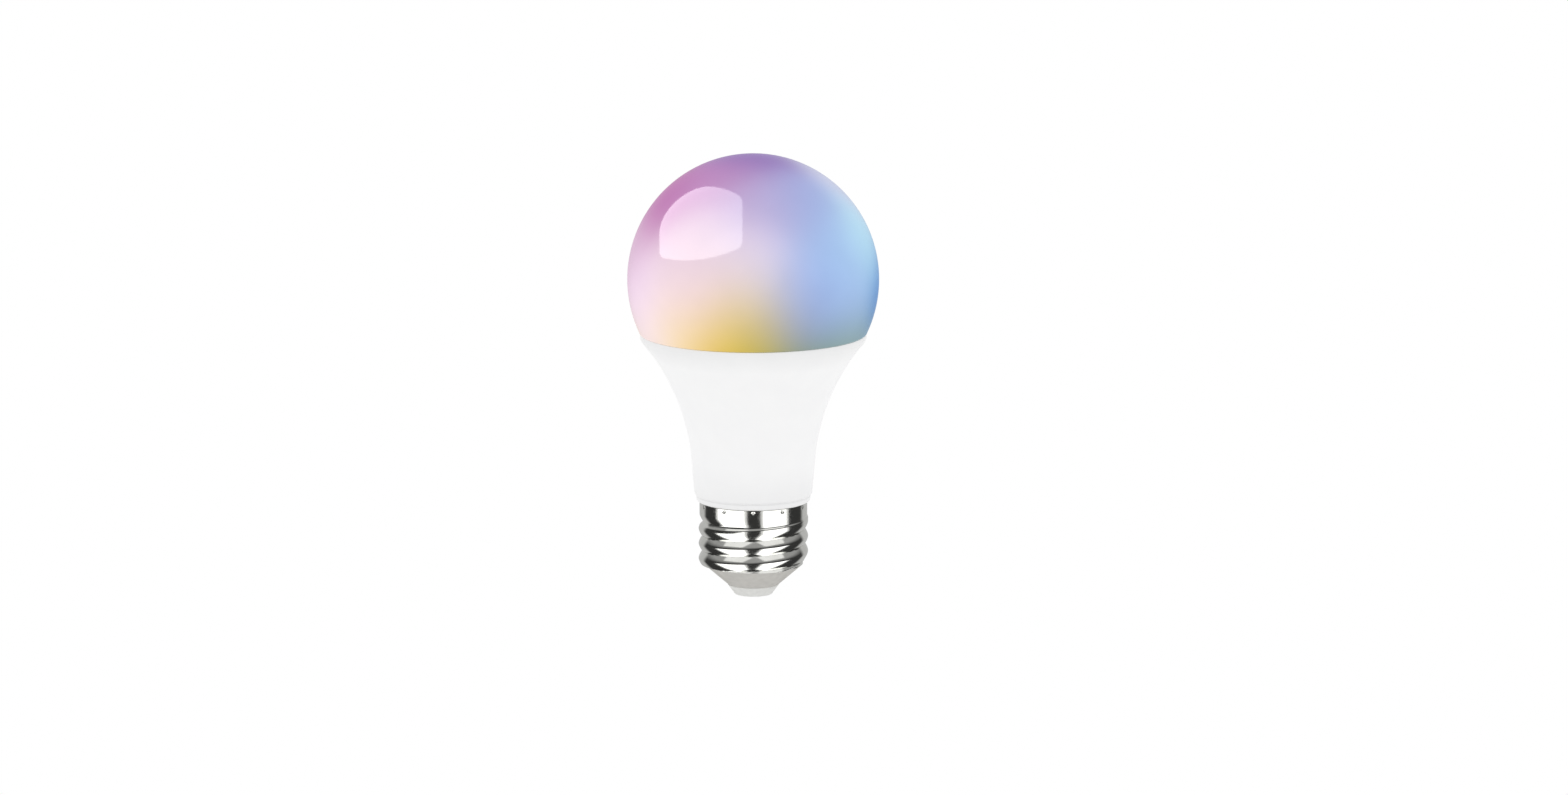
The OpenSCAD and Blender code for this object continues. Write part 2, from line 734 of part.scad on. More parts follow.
diffuser_dome();
dome_adhesive();
housing_shell();
screw_shell();
base_insulator();
centre_contact();
heat_sink_cup();
thermal_paste();
led_board();
warm_white_leds();
cool_white_leds();
red_leds();
green_leds();
blue_leds();
board_screws();
driver_board();
bulk_capacitor();
output_capacitor();
film_capacitor();
transformer_core();
transformer_bobbin();
transformer_winding();
choke_core();
choke_winding();
bridge_rectifier();
driver_chips();
chip_resistors();
surge_varistor();
fuse_resistor();
header_strip();
header_pins();
wireless_board();
wireless_shield();
antenna_trace();
live_wire();
neutral_wire();
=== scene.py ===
"""Smart light bulb: looks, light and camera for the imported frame.

Lengths are in millimetres, and MM turns them into Blender's metres.
"""
import math

import bpy
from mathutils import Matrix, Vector


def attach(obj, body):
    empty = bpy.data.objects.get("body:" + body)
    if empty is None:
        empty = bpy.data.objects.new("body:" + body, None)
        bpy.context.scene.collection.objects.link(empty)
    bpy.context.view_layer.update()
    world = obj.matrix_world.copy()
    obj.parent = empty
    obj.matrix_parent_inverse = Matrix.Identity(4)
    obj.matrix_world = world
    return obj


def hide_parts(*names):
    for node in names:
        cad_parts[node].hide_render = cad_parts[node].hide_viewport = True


MM = 0.001
WHITE = (1.0, 1.0, 1.0)
EVEN = (1.0, 1.0, 1.0)
NOISE_ROUGHNESS = 0.55

# Dome: its radius is 0.015 mm less than in part.scad, so that the mesh stays in the CAD model's box,
# and its wall is as much thinner, so that the inner radius is the same
DOME_R, DOME_WALL = 29.985, 1.385

# Dome rim and housing, as in part.scad
RIM_Z, RIM_R, RIM_ROUND, RIM_T = 63.5, 27.1, 0.35, 1.0
SKIRT_IN_R, SKIRT_OUT_R, SKIRT_LOW_Z = 24.6, 25.8, 61.1
SEAT_R, SEAT_Z, PARTING_GAP = 26.1, 61.0, 0.1
SHOULDER_R, SHOULDER_Z = 26.55, 61.4
HOUSING_WALL, SPIGOT_R, SPIGOT_IN_R, SPIGOT_LOW_Z = 1.5, 11.55, 10.1, 9.8
COLLAR_R, COLLAR_ROUND, COLLAR_TOP_Z, GROOVE_R, GROOVE_TOP_Z = 13.65, 0.7, 24.1, 13.58, 24.35
NECK_R, CORNER_R, NECK_LEAN, FLARE_Z = 14.1, 0.6, 5.0, 33.0
HOUSING_RIM_R, INNER_STEP_UP, INNER_STEP_DOWN = RIM_R - 0.1, 1.0, 1.5

# Edges that these meshes round or bevel more finely than part.scad, and the painted shade that darkens the
# housing's foot and rim
COLLAR_EDGE, RIM_EDGE = 0.15, 0.2
RIM_BLEND_R, RIM_BLEND_LOW, RIM_BLEND_TOP = 0.08, 0.75, 1.0
CONE_BEVEL_R, CONE_BEVEL_H, CONE_EDGE_BEVEL, CONE_EDGE_FLAT = 0.2, 0.1, 0.11, 0.03
CONTACT_BEVEL = ((0.05, 0.32), (0.0, 0.2), (0.05, 0.06), (0.18, 0.0))
# Painted shade: how dark the housing's foot and rim are painted, and the height over which the rim's shade fades
PAINTED_FOOT_SHADE, PAINTED_RIM_SHADE, PAINTED_RIM_SHADE_H = 0.93, 0.9, 4.0

# Screw shell
CREST_R, SKIRT_R, BORE_R, THREAD_BORE_R, LOW_BORE_R = 13.1, 12.88, 12.0, 11.85, 11.4
SHELL_TOP_Z, SHELL_LOW_Z, ROLLED_R, ROLLED_H = 22.75, 7.4, 11.85, 2.2
ROLL_HALF_TURN, ROLL_SLOPE, ROLL_EASE, LOW_BORE_H = 95.0, 1.15, 0.4, 0.9
PITCH, THREAD_DEPTH, CREST_WIDTH = 3.629, 0.85, 1.6
RUNOUT_Z, RUNOUT_ANGLE, RUNOUT_TURN, THREAD_TOP_Z = 18.85, -75.0, 110.0, 20.3
STEP_LOW, STEP_HIGH, CREST_GROWS, CREST_GROWN = 0.85, 1.45, 150.0, 210.0
STAKES, STAKE_Z, STAKE_R, STAKE_DEPTH = 11, 22.03, 0.5, 0.3
SHELL_LIP, SHELL_LIP_BEND, SHELL_ROWS, SHELL_TURNS = 0.12, 0.3, 150, 480

# Base
CONTACT_TIP_R, CONTACT_ROUND, CONTACT_TOP_R, CONTACT_TOP_Z = 4.75, 0.6, 6.1, 2.5
STEM_R, STEM_TOP_Z = 2.0, 7.2
CONE_LOW_R, CONE_EDGE_R, CONE_HIGH_R, CONE_WALL, CONE_TOP_Z = 6.3, 11.8, 11.3, 1.7, 8.1
CONE_FLOOR_T, STEM_GAP, BASE_TURNS = 1.2, 0.05, 160

# Camera: a long lens, a little above the bulb
VIEW_ELEVATION, VIEW_DISTANCE, VIEW_LENS, SENSOR = 10.5, 2000.0, 192.4, 36.0
VIEW_TARGET, VIEW_CLIP_END = (7.33, 0.0, 47.7), 20000.0

# Floor, and the spheres round the scene: grey for the metal, pale hazes for the dome and the housing
FLOOR_HALF, FLOOR_Z = 3000.0, -0.3
SKY_R, DOME_HAZE_R, HOUSING_HAZE_R = 2500.0, 2400.0, 2300.0
SPHERE_RINGS, SPHERE_TURNS = 24, 48
DOME_HAZE, HOUSING_HAZE = 0.28, 1.0
SKY_LOW, SKY_HIGH, SKY_LINE, SKY_BLEND = 0.04, 0.36, 21.0, 8.0
SKY_BEHIND, SKY_BEHIND_START, SKY_BEHIND_END = 0.55, 120.0, 132.0

# Softboxes that the nickel mirrors: each one's name and the azimuths that it reaches between. Then the
# layers of each: name, how many degrees wider at each side, brightness, and distance in SOFTBOX_DISTANCE
BASE_MIDDLE_Z = 15.0
SOFTBOX_DISTANCE, SOFTBOX_TOP_Z, SOFTBOX_LOW_Z = 300.0, -5.0, -1100.0
SOFTBOXES = (("left", -83, -16), ("right", 18, 77))
SOFTBOX_LAYERS = (("core", -3, 1.2, 1.0), ("edge", 3, 0.75, 1.02))
CEILING_ELEVATION, CEILING_SIZE, CEILING_LEVEL = 52.0, 240.0, 0.65

# The window's highlight, in dome radii across and up from the dome's middle as the camera sees it
WINDOW_LEFT, WINDOW_RIGHT, WINDOW_PEAK, WINDOW_CORNER = -0.737, -0.084, -0.36, 0.035
WINDOW_TOP, WINDOW_SPRING, WINDOW_SLOPE, WINDOW_FULLNESS = 0.729, 0.377, 0.09, 1.7
WINDOW_LOW_LEFT, WINDOW_LOW_RIGHT, WINDOW_SAG = 0.173, 0.249, 0.238
WINDOW_DISTANCE, WINDOW_LEVEL = 1200.0, 4.2
WINDOW_COLUMNS, WINDOW_ROWS = 48, 16

# Coloured glows in the dome, and a painted highlight: azimuth to the right of the camera's side, elevation, and
# sRGB from 0 to 255
DOME_SPOTS = [
    # top
    (8, 84, (140, 108, 182)), (180, 64, (156, 122, 194)),
    # upper left, round to the back
    (-75, 42, (192, 114, 178)), (-38, 60, (196, 142, 194)), (-130, 40, (212, 136, 178)),
    # left
    (-80, 12, (230, 194, 222)), (-62, -6, (254, 230, 252)), (-28, 22, (232, 208, 224)),
    (-125, 4, (244, 200, 208)), (-30, 0, (250, 224, 236)),
    # lower left and front
    (-58, -28, (255, 236, 226)), (-34, -20, (255, 232, 180)), (-19, -36, (246, 194, 20)),
    (-10, -21, (238, 200, 56)), (2, -38, (132, 150, 0)), (29, -36, (112, 132, 30)),
    (6, -19, (192, 178, 50)), (-3, -4, (236, 213, 166)), (-110, -34, (250, 220, 150)),
    # lower right
    (46, -28, (142, 168, 158)), (66, -34, (140, 166, 166)), (110, -34, (110, 164, 180)),
    (24, -14, (138, 160, 224)),
    # middle and right
    (22, 4, (160, 184, 240)), (0, 16, (238, 224, 246)), (86, -4, (0, 122, 206)),
    (72, 22, (190, 232, 250)), (42, 16, (166, 200, 242)), (130, 10, (130, 180, 232)),
    (50, -4, (166, 194, 240)),
    # upper right and back; the pale spot at azimuth 100, elevation 52 is a painted highlight along the dome's
    # upper right edge
    (34, 44, (160, 178, 228)), (6, 46, (192, 174, 216)), (100, 52, (208, 212, 238)),
    (180, 10, (206, 190, 230)), (170, -34, (206, 190, 100)), (-160, -30, (236, 196, 120)),
]
DOME_SHARPNESS = 18.0
DOME_GLOW = 0.55


# ---------------------------------------------------------------- geometry

def arc(cx, cz, r, a0, a1, steps):
    """Points (r, z) on an arc about (cx, cz), from angle a0 to a1 in degrees."""
    return [
        (cx + r * math.cos(math.radians(a0 + (a1 - a0) * i / steps)),
         cz + r * math.sin(math.radians(a0 + (a1 - a0) * i / steps)))
        for i in range(steps + 1)
    ]


def smooth(t):
    t = min(1.0, max(0.0, t))
    return t * t * (3 - 2 * t)


def mesh_piece(name, verts, faces, material, sharp=32.0):
    """A smooth piece on the root body from points in millimetres. Edges past sharp degrees stay crisp."""
    mesh = bpy.data.meshes.new(name)
    mesh.from_pydata([Vector(v) * MM for v in verts], [], faces)
    mesh.validate()
    mesh.polygons.foreach_set("use_smooth", [True] * len(mesh.polygons))
    mesh.set_sharp_from_angle(angle=math.radians(sharp))
    mesh.materials.append(material)
    piece = bpy.data.objects.new(name, mesh)
    bpy.context.scene.collection.objects.link(piece)
    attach(piece, "root")
    return piece


def lathe(outline, turns=256):
    """Vertices and faces of a closed (r, z) outline turned about Z. r may be a function of the angle."""
    verts, faces, rings = [], [], []
    for r, z in outline:
        if not callable(r) and abs(r) < 1e-6:
            rings.append([len(verts)] * turns)
            verts.append((0.0, 0.0, z))
            continue
        rings.append(list(range(len(verts), len(verts) + turns)))
        for i in range(turns):
            a = 360.0 * i / turns
            rr = r(a) if callable(r) else r
            verts.append((rr * math.cos(math.radians(a)), rr * math.sin(math.radians(a)), z))
    for ring, after in zip(rings, rings[1:] + rings[:1]):
        for i in range(turns):
            j = (i + 1) % turns
            loop = [ring[i], ring[j], after[j], after[i]]
            loop = [v for k, v in enumerate(loop) if v != loop[k - 1]]
            if len(set(loop)) >= 3:
                faces.append(loop)
    return verts, faces


# ---------------------------------------------------------------- materials

class Shader:
    """One Principled material and the nodes that feed it, in the piece's own coordinates."""

    def __init__(self, name):
        self.material = bpy.data.materials.new(name)
        self.material.use_nodes = True
        self.tree = self.material.node_tree
        self.bsdf = self.tree.nodes["Principled BSDF"]
        self.place = self.tree.nodes.new("ShaderNodeTexCoord").outputs["Object"]

    def node(self, kind, **settings):
        made = self.tree.nodes.new(kind)
        for key, value in settings.items():
            setattr(made, key, value)
        return made

    def feed(self, socket, value):
        if isinstance(value, bpy.types.NodeSocket):
            self.tree.links.new(value, socket)
        else:
            socket.default_value = value

    def math(self, operation, *values):
        made = self.node("ShaderNodeMath", operation=operation)
        for socket, value in zip(made.inputs, values):
            self.feed(socket, value)
        return made.outputs[0]

    def vector(self, operation, *values, out="Vector"):
        made = self.node("ShaderNodeVectorMath", operation=operation)
        for socket, value in zip(made.inputs, values):
            self.feed(socket, value)
        return made.outputs[out]

    def scaled(self, vector, by):
        made = self.node("ShaderNodeVectorMath", operation="SCALE")
        self.feed(made.inputs[0], vector)
        self.feed(made.inputs["Scale"], by)
        return made.outputs["Vector"]

    def noise(self, size, detail=3.0, stretch=EVEN):
        """Noise from 0 to 1 with grains of about size millimetres, longer where stretch is below 1."""
        grid = self.vector("MULTIPLY", self.place, tuple(k / (size * MM) for k in stretch))
        made = self.node("ShaderNodeTexNoise")
        made.inputs["Scale"].default_value = 1.0
        made.inputs["Detail"].default_value = detail
        made.inputs["Roughness"].default_value = NOISE_ROUGHNESS
        self.feed(made.inputs["Vector"], grid)
        return made.outputs["Fac"]

    def ramp(self, value, low, high, start=0.3, end=0.7):
        """A colour that goes from low to high as value goes from start to end."""
        made = self.node("ShaderNodeValToRGB")
        for stop, place, colour in zip(made.color_ramp.elements, (start, end), (low, high)):
            stop.position, stop.color = place, (*colour, 1.0)
        self.feed(made.inputs["Fac"], value)
        return made.outputs["Color"]

    def span(self, value, low, high, start=0.3, end=0.7):
        made = self.node("ShaderNodeMapRange")
        for name, number in (("From Min", start), ("From Max", end), ("To Min", low), ("To Max", high)):
            made.inputs[name].default_value = number
        self.feed(made.inputs["Value"], value)
        return made.outputs["Result"]

    def bump(self, height, depth):
        """Relief of about depth millimetres."""
        made = self.node("ShaderNodeBump")
        made.inputs["Strength"].default_value = 1.0
        made.inputs["Distance"].default_value = depth * MM
        self.feed(made.inputs["Height"], height)
        self.feed(self.bsdf.inputs["Normal"], made.outputs["Normal"])

    def set(self, **values):
        for name, value in values.items():
            self.feed(self.bsdf.inputs[name.replace("_", " ")], value)


def linear(rgb):
    """Linear light of an sRGB colour with parts from 0 to 255."""
    return tuple(
        c / 255 / 12.92 if c <= 10 else ((c / 255 + 0.055) / 1.055) ** 2.4
        for c in rgb
    )


def tint(colour, by):
    return tuple(min(1.0, c * by) for c in colour)


def finish(name, rgb, rough, metallic=0.0, vary=0.08, patch=3.0, grain=0.25, relief=0.01, stretch=EVEN):
    """A moulded, plated or painted finish: patchy colour, patchy gloss and a fine grain."""
    s = Shader(name)
    dark, light = (tint(linear(rgb), by) for by in (1 - vary, 1 + vary))
    s.set(Base_Color=s.ramp(s.noise(patch), dark, light), Metallic=metallic)
    s.set(Roughness=s.span(s.noise(grain * 4, stretch=stretch), rough * 0.85, min(1.0, rough * 1.15)))
    s.bump(s.noise(grain, stretch=stretch), relief)
    return s.material


def glow_and_highlight_field(s, toward, spots, sharpness):
    """A colour blended from spots of (azimuth, elevation, sRGB) seen from the middle of the dome."""
    total, colour = None, None
    for azimuth, elevation, rgb in spots:
        a, e = math.radians(azimuth), math.radians(elevation)
        aim = (math.sin(a) * math.cos(e), -math.cos(a) * math.cos(e), math.sin(e))
        near = s.vector("DOT_PRODUCT", toward, aim, out="Value")
        weight = s.math("EXPONENT", s.math("MULTIPLY_ADD", near, sharpness, -sharpness))
        share = s.scaled(linear(rgb), weight)
        total = weight if total is None else s.math("ADD", total, weight)
        colour = share if colour is None else s.vector("ADD", colour, share)
    return s.scaled(colour, s.math("DIVIDE", 1.0, total))


def milky_dome():
    """Milky plastic lit from inside by coloured light, with a painted highlight along its upper right edge, under
    a clear gloss.
    """
    s = Shader("milky_dome")
    toward = s.vector("NORMALIZE", s.vector("SUBTRACT", s.place, (0, 0, dome_centre() * MM)))
    # The field's pale spot on the upper right edge is a painted highlight; the other spots are the coloured light
    field = glow_and_highlight_field(s, toward, DOME_SPOTS, DOME_SHARPNESS)
    cloud = s.ramp(s.noise(9.0, detail=2.0), (0.97, 0.97, 0.975), WHITE)
    field = s.vector("MULTIPLY", field, cloud)
    s.set(Base_Color=s.scaled(field, 1.0 - DOME_GLOW), Emission_Color=field)
    s.set(Emission_Strength=DOME_GLOW, Specular_IOR_Level=0.5)
    s.set(Roughness=s.span(s.noise(2.5), 0.05, 0.08))
    s.bump(s.noise(0.8, detail=2.0), 0.0006)
    return s.material


def white_housing():
    """Satin moulded plastic with a fine grain, and painted shade that darkens its foot and its rim."""
    s = Shader("white_plastic")
    parts = s.node("ShaderNodeSeparateXYZ")
    s.feed(parts.inputs[0], s.place)
    # Painted shade: the base colour grows darker down towards the collar and up towards the rim under the dome
    foot = s.span(parts.outputs["Z"], PAINTED_FOOT_SHADE, 1.0, COLLAR_TOP_Z * MM, FLARE_Z * MM)
    rim = s.span(parts.outputs["Z"], 1.0, PAINTED_RIM_SHADE, (SHOULDER_Z - PAINTED_RIM_SHADE_H) * MM, RIM_Z * MM)
    tone = s.ramp(s.noise(7.0), (0.9, 0.9, 0.905), (0.92, 0.92, 0.922))
    s.set(Base_Color=s.scaled(tone, s.math("MULTIPLY", foot, rim)))
    s.set(Roughness=s.span(s.noise(1.2), 0.36, 0.44))
    s.bump(s.noise(0.22, detail=2.0), 0.003)
    return s.material


def nickel():
    """Bright nickel plate with faint cloudy patches and marks drawn round the shell."""
    s = Shader("nickel_plate")
    s.set(Metallic=1.0)
    dull = s.noise(4.0, detail=4.0)
    s.set(Base_Color=s.ramp(dull, linear((222, 222, 217)), linear((232, 232, 228))))
    s.set(Roughness=s.span(s.noise(1.6, stretch=(0.4, 0.4, 2.2)), 0.10, 0.17))
    s.bump(s.noise(0.5, stretch=(0.25, 0.25, 2.5)), 0.0012)
    return s.material


def base_plastic():
    """Matt warm grey insulator with a mottled moulding skin."""
    s = Shader("grey_plastic")
    s.set(Base_Color=s.ramp(s.noise(1.6, detail=5.0), linear((186, 184, 179)), linear((197, 195, 190))))
    s.set(Roughness=s.span(s.noise(0.8), 0.55, 0.68))
    s.bump(s.noise(0.25), 0.008)
    return s.material


def contact_plate():
    """Dull tinned contact with light scuffs."""
    s = Shader("contact_metal")
    s.set(Metallic=0.15, Roughness=s.span(s.noise(0.6, detail=4.0), 0.45, 0.6))
    s.set(Base_Color=s.ramp(s.noise(1.2, detail=5.0), linear((228, 228, 225)), linear((238, 238, 235))))
    s.bump(s.noise(0.3, stretch=(1.0, 0.3, 1.0)), 0.003)
    return s.material


def lamp(name, rgb, strength):
    """A light-emitting diode's lens over mottled phosphor."""
    s = Shader(name)
    colour = linear(rgb)
    glow = s.ramp(s.noise(0.8), tint(colour, 0.8), colour)
    s.set(Base_Color=s.ramp(s.noise(0.8), tint(colour, 0.7), colour), Emission_Color=glow)
    s.set(Emission_Strength=strength, Roughness=s.span(s.noise(0.5), 0.2, 0.35))
    s.bump(s.noise(0.3), 0.01)
    return s.material


def inner_materials():
    """Finishes by slot, for the housing and the inner nodes. The radio shield's nickel_plate is not among them."""
    brushed = (0.2, 1.0, 1.0)
    return {
        "white_plastic": white_housing(),
        "silicone": finish("silicone", (226, 226, 222), 0.45, relief=0.03, grain=0.5),
        "aluminium": finish("aluminium", (196, 198, 200), 0.32, 1.0, stretch=brushed, relief=0.006),
        "paste": finish("paste", (214, 214, 210), 0.7, grain=0.4, relief=0.05),
        "board_white": finish("board_white", (238, 238, 234), 0.35, vary=0.03, relief=0.006),
        "led_warm": lamp("led_warm", (246, 214, 120), 0.5),
        "led_cool": lamp("led_cool", (244, 232, 160), 0.5),
        "led_red": lamp("led_red", (226, 60, 50), 0.4),
        "led_green": lamp("led_green", (80, 205, 96), 0.4),
        "led_blue": lamp("led_blue", (70, 110, 235), 0.4),
        "steel": finish("steel", (188, 190, 192), 0.28, 1.0, vary=0.12, patch=0.8, grain=0.15),
        "board_green": finish("board_green", (32, 96, 58), 0.4, vary=0.14, patch=2.0, relief=0.008),
        "can_sleeve": finish("can_sleeve", (38, 40, 52), 0.3, vary=0.12, stretch=(1, 1, 0.3)),
        "film_box": finish("film_box", (196, 170, 52), 0.38, vary=0.07),
        "ferrite": finish("ferrite", (62, 60, 62), 0.62, vary=0.18, grain=0.2, relief=0.03),
        "bobbin_plastic": finish("bobbin_plastic", (30, 30, 32), 0.5, vary=0.15),
        "winding_tape": finish("winding_tape", (222, 186, 60), 0.33, vary=0.07, stretch=(1, 1, 0.25)),
        "copper": finish("copper", (198, 118, 74), 0.25, 1.0, vary=0.15, grain=0.15, stretch=(0.3, 0.3, 1)),
        "black_resin": finish("black_resin", (34, 34, 36), 0.48, vary=0.2, grain=0.15),
        "blue_lacquer": finish("blue_lacquer", (44, 92, 150), 0.28, vary=0.12, patch=1.5),
        "resistor_coat": finish("resistor_coat", (120, 170, 160), 0.4, vary=0.12, patch=1.0),
        "gold_plate": finish("gold_plate", (232, 190, 96), 0.22, 1.0, vary=0.08, patch=0.8),
        "board_blue": finish("board_blue", (28, 56, 110), 0.38, vary=0.14, patch=1.5),
        "wire_black": finish("wire_black", (36, 36, 38), 0.42, vary=0.15, relief=0.02),
        "wire_white": finish("wire_white", (232, 230, 224), 0.42, vary=0.04, relief=0.02),
    }


# ---------------------------------------------------------------- pieces

def dome_centre():
    return RIM_Z + math.sqrt(DOME_R ** 2 - RIM_R ** 2)


def dome_piece(material):
    """Thin milky dome, cut off below its widest line, with a rounded rim and a skirt under it."""
    cz = dome_centre()
    rim_angle = math.degrees(math.asin((RIM_Z + RIM_ROUND - cz) / DOME_R))
    inner_r = DOME_R - DOME_WALL
    inner_angle = math.degrees(math.asin((RIM_Z + RIM_T - cz) / inner_r))
    edge_r = DOME_R * math.cos(math.radians(rim_angle))
    outline = arc(0, cz, DOME_R, 90, rim_angle, 96)
    outline += arc(edge_r - RIM_ROUND, RIM_Z + RIM_ROUND, RIM_ROUND, -15, -90, 5)
    outline += [(SKIRT_OUT_R, RIM_Z), (SKIRT_OUT_R, SKIRT_LOW_Z), (SKIRT_IN_R, SKIRT_LOW_Z)]
    outline += [(SKIRT_IN_R, RIM_Z + RIM_T)]
    outline += arc(0, cz, inner_r, inner_angle, 90, 64)
    piece = mesh_piece("dome", *lathe(outline), material, sharp=50)
    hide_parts("diffuser_dome")
    return piece


def flare(wall):
    """The housing's hollow curve from FLARE_Z to the shoulder, moved in by wall."""
    flare_r = NECK_R + (FLARE_Z - GROOVE_TOP_Z - CORNER_R) * math.tan(math.radians(NECK_LEAN))
    rise, run = SHOULDER_Z - FLARE_Z, SHOULDER_R - flare_r
    end_lean = 2 * math.degrees(math.atan(run / rise)) - NECK_LEAN
    r = rise / (math.sin(math.radians(end_lean)) - math.sin(math.radians(NECK_LEAN)))
    cx, cz = flare_r + r * math.cos(math.radians(NECK_LEAN)), FLARE_Z - r * math.sin(math.radians(NECK_LEAN))
    return arc(cx, cz, r + wall, 180 - NECK_LEAN, 180 - end_lean, 56)


def housing_piece(material):
    """White housing: spigot, collar, parting groove, neck, hollow flare and rim seat.

    The board rails and the wire's notch, which are inside, are left out.
    """
    top_z = RIM_Z - PARTING_GAP
    rim_r = HOUSING_RIM_R
    neck_z = GROOVE_TOP_Z + CORNER_R
    outline = [(SPIGOT_R, SPIGOT_LOW_Z), (SPIGOT_R, SHELL_TOP_Z)]
    outline += arc(COLLAR_R - COLLAR_ROUND, SHELL_TOP_Z + COLLAR_ROUND, COLLAR_ROUND, -90, 0, 12)
    outline += arc(COLLAR_R - COLLAR_EDGE, COLLAR_TOP_Z - COLLAR_EDGE, COLLAR_EDGE, 0, 90, 4)
    outline += [(GROOVE_R, COLLAR_TOP_Z), (GROOVE_R, GROOVE_TOP_Z)]
    outline += arc(NECK_R - CORNER_R, neck_z, CORNER_R, -90, 0, 10)
    outline += flare(0)
    outline += [(rim_r - RIM_BLEND_R, SHOULDER_Z + RIM_BLEND_LOW), (rim_r, SHOULDER_Z + RIM_BLEND_TOP)]
    outline += arc(rim_r - RIM_EDGE, top_z - RIM_EDGE, RIM_EDGE, 0, 90, 6)
    outline += [(SEAT_R, top_z), (SEAT_R, SEAT_Z)]
    outline += [p for p in reversed(flare(HOUSING_WALL)) if p[1] < SEAT_Z]
    outline += [(NECK_R - HOUSING_WALL, neck_z + INNER_STEP_UP)]
    outline += [(SPIGOT_IN_R, neck_z - INNER_STEP_DOWN), (SPIGOT_IN_R, SPIGOT_LOW_Z)]
    piece = mesh_piece("housing", *lathe(outline), material, sharp=40)
    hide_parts("housing_shell")
    return piece


def crest_step(turned, z):
    """0 on the skirt and 1 on the crest, half a pitch below the groove's line, turned degrees round."""
    crest_z = RUNOUT_Z - PITCH / 2 - turned * PITCH / 360
    return smooth((crest_z + STEP_HIGH - z) / (STEP_HIGH - STEP_LOW))


def thread_radius(angle, z):
    """Radius of the rolled screw shell at an angle in degrees and a height."""
    first = (RUNOUT_ANGLE - angle + 720) % 360
    turned = first + 360 * round((RUNOUT_Z - first * PITCH / 360 - z) / PITCH)
    off = (z - RUNOUT_Z) / PITCH * 360 + turned
    wave = max(0.0, 1 - abs(off) / 180) ** CREST_WIDTH
    groove = THREAD_DEPTH * smooth(turned / RUNOUT_TURN) * wave
    grown = smooth((first - CREST_GROWS) / (CREST_GROWN - CREST_GROWS)) * smooth(THREAD_TOP_Z - z)
    raised = max(crest_step(first, z), grown * crest_step(first - 360, z))
    side = abs((angle + 540) % 360 - 180)
    deep = max(0.0, SHELL_LOW_Z + ROLLED_H * smooth(1 - side / ROLL_HALF_TURN) - z)
    rolled = max(ROLLED_R, CREST_R - ROLL_SLOPE * deep * deep / (deep + ROLL_EASE))
    return min(rolled, SKIRT_R + (CREST_R - SKIRT_R) * raised - groove)


def staked_radius(angle, z):
    """The skirt's radius where punch marks lock the shell to the housing."""
    step = 360 / STAKES
    off_angle = (angle + 90 + step / 2) % step - step / 2
    off = math.hypot(math.radians(off_angle) * SKIRT_R, z - STAKE_Z) / STAKE_R
    return SKIRT_R - STAKE_DEPTH * (1 - smooth(off))


def shell_radius(z):
    if z > STAKE_Z - 2 * STAKE_R:
        return lambda a: staked_radius(a, z)
    return lambda a: thread_radius(a, z)


def screw_piece(material):
    """Rolled nickel shell with a plain skirt, punch marks and a thread that runs out under the skirt."""
    lip, bend, rows = SHELL_LIP, SHELL_LIP * SHELL_LIP_BEND, SHELL_ROWS
    heights = [SHELL_LOW_Z + (SHELL_TOP_Z - lip - SHELL_LOW_Z) * i / rows for i in range(rows + 1)]
    outline = [(LOW_BORE_R, SHELL_LOW_Z)]
    outline += [(shell_radius(z), z) for z in heights]
    outline += [(SKIRT_R - bend, SHELL_TOP_Z - bend), (SKIRT_R - lip, SHELL_TOP_Z)]
    outline += [(BORE_R, SHELL_TOP_Z), (BORE_R, THREAD_TOP_Z), (THREAD_BORE_R, THREAD_TOP_Z)]
    outline += [(THREAD_BORE_R, SHELL_LOW_Z + ROLLED_H), (LOW_BORE_R, SHELL_LOW_Z + LOW_BORE_H)]
    piece = mesh_piece("screw_cap", *lathe(outline, turns=SHELL_TURNS), material, sharp=55)
    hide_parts("screw_shell")
    return piece


def insulator_piece(material):
    """Grey cone between the shell and the centre contact."""
    lean = (CONE_EDGE_R - CONE_LOW_R) / (SHELL_LOW_Z - CONTACT_TOP_Z)
    floor_z = CONTACT_TOP_Z + CONE_FLOOR_T
    bore_r = STEM_R + STEM_GAP
    outline = [(bore_r, CONTACT_TOP_Z), (CONE_LOW_R - CONE_BEVEL_R, CONTACT_TOP_Z)]
    outline += [(CONE_LOW_R, CONTACT_TOP_Z + CONE_BEVEL_H)]
    outline += [(CONE_EDGE_R - CONE_EDGE_BEVEL, SHELL_LOW_Z - CONE_BEVEL_H)]
    outline += [(CONE_EDGE_R - CONE_EDGE_FLAT, SHELL_LOW_Z)]
    outline += [(CONE_HIGH_R, SHELL_LOW_Z), (CONE_HIGH_R, CONE_TOP_Z)]
    outline += [(CONE_HIGH_R - CONE_WALL, CONE_TOP_Z), (CONE_HIGH_R - CONE_WALL, SHELL_LOW_Z)]
    outline += [(CONE_LOW_R - CONE_WALL + lean * CONE_FLOOR_T, floor_z), (bore_r, floor_z)]
    piece = mesh_piece("base_cone", *lathe(outline, turns=BASE_TURNS), material)
    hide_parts("base_insulator")


def contact_piece(material):
    """Round-edged centre contact with its stem, which is solid here."""
    outline = [(0, 0)]
    outline += arc(CONTACT_TIP_R - CONTACT_ROUND, CONTACT_ROUND, CONTACT_ROUND, -90, -20, 10)
    outline += [(CONTACT_TOP_R - inward, CONTACT_TOP_Z - down) for inward, down in CONTACT_BEVEL]
    outline += [(STEM_R, CONTACT_TOP_Z), (STEM_R, STEM_TOP_Z), (0, STEM_TOP_Z)]
    piece = mesh_piece("tip_contact", *lathe(outline, turns=BASE_TURNS), material, sharp=50)
    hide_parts("centre_contact")
    return piece


# ---------------------------------------------------------------- studio

